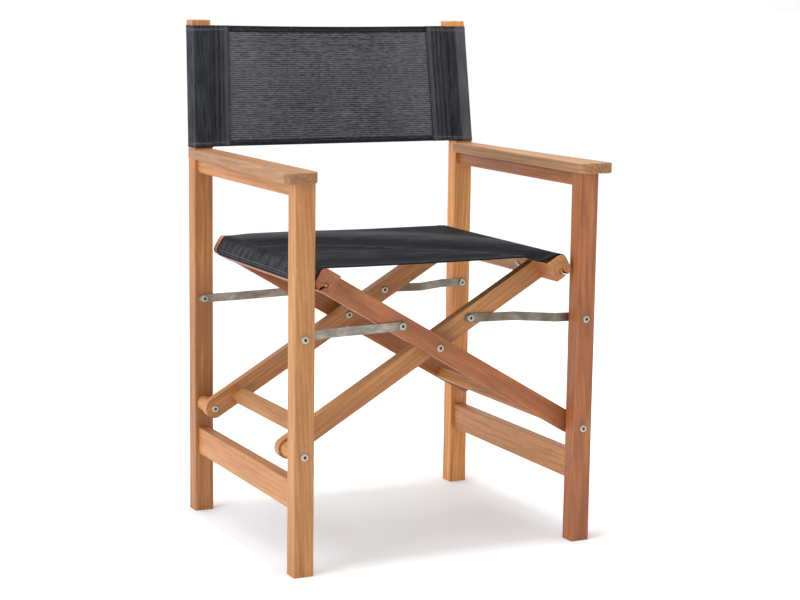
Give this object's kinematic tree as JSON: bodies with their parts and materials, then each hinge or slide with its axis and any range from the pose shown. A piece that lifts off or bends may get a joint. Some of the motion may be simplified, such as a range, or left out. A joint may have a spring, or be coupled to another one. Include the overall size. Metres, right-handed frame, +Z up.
{
  "type": "director chair",
  "caption": "Folding armchair with crossed wooden bars, a fabric seat sling and a mesh back sling between two side frames.",
  "frame": {"origin": "centre of the bounding box of the open chair, on the floor", "axes": "+X to the right as seen from the front, +Y to the back, +Z up"},
  "size_m": [0.604, 0.518, 0.887],
  "materials": {
    "teak": "fine sanded, unvarnished",
    "steel": "dull, slightly stained",
    "hem_rod": "plain dowel",
    "seat_fabric": "satin woven",
    "back_mesh": "coated open mesh"
  },
  "bodies": {
    "left_side_frame": {"left_front_leg": "teak", "left_rear_leg": "teak", "left_armrest": "teak", "left_upper_rail": "teak", "left_bottom_rail": "teak", "left_strap_bolts": "steel", "left_pivot_bolts": "steel", "left_pivot_spacers": "teak", "left_back_sleeve": "back_mesh"},
    "right_side_frame": {"right_front_leg": "teak", "right_rear_leg": "teak", "right_armrest": "teak", "right_upper_rail": "teak", "right_bottom_rail": "teak", "right_strap_bolts": "steel", "right_pivot_bolts": "steel", "right_pivot_spacers": "teak", "right_back_sleeve": "back_mesh", "back_panel": "back_mesh"},
    "inner_cross_frame": {"inner_front_bar": "teak", "inner_rear_bar": "teak", "inner_crossbar": "teak", "right_seat_rail": "teak", "right_hem_rod": "hem_rod", "right_rail_screws": "steel", "inner_strap_nuts": "steel", "seat_sling": "seat_fabric"},
    "outer_cross_frame": {"outer_front_bar": "teak", "outer_rear_bar": "teak", "outer_crossbar": "teak", "left_seat_rail": "teak", "left_hem_rod": "hem_rod", "left_rail_screws": "steel", "outer_strap_nuts": "steel", "centre_bolts": "steel", "centre_spacers": "teak"},
    "left_straps": {"left_front_strap": "steel", "left_rear_strap": "steel", "left_strap_studs": "steel"},
    "right_straps": {"right_front_strap": "steel", "right_rear_strap": "steel", "right_strap_studs": "steel"}
  },
  "joints": [
    {"name": "fold", "type": "hinge", "parent": "left_side_frame", "child": "inner_cross_frame", "pos_m": [-0.2625, -0.00897, 0.2], "axis": [0, -1, 0], "range_deg": [0, 32.6]},
    {"name": "scissor", "type": "hinge", "parent": "inner_cross_frame", "child": "outer_cross_frame", "pos_m": [0, -0.00897, 0.354], "axis": [0, -1, 0], "range_deg": [-71.25, 0], "deforming": ["seat_sling"]},
    {"name": "right_frame_pivot", "type": "hinge", "parent": "outer_cross_frame", "child": "right_side_frame", "pos_m": [0.2625, -0.00897, 0.2], "axis": [0, -1, 0], "range_deg": [0, 32.65], "deforming": ["back_panel"]},
    {"name": "left_strap_pivot", "type": "hinge", "parent": "left_side_frame", "child": "left_straps", "pos_m": [-0.2625, -0.00897, 0.392], "axis": [0, -1, 0], "range_deg": [0, 54.21]},
    {"name": "right_strap_pivot", "type": "hinge", "parent": "right_side_frame", "child": "right_straps", "pos_m": [0.2625, -0.00897, 0.392], "axis": [0, -1, 0], "range_deg": [-54.21, 0]}
  ],
  "couplings": [
    {"joint": "scissor", "follows": "fold", "ratio": -2.1841},
    {"joint": "right_frame_pivot", "follows": "fold", "ratio": 1},
    {"joint": "left_strap_pivot", "follows": "fold", "ratio": 1.6613},
    {"joint": "right_strap_pivot", "follows": "fold", "ratio": -1.6613}
  ]
}
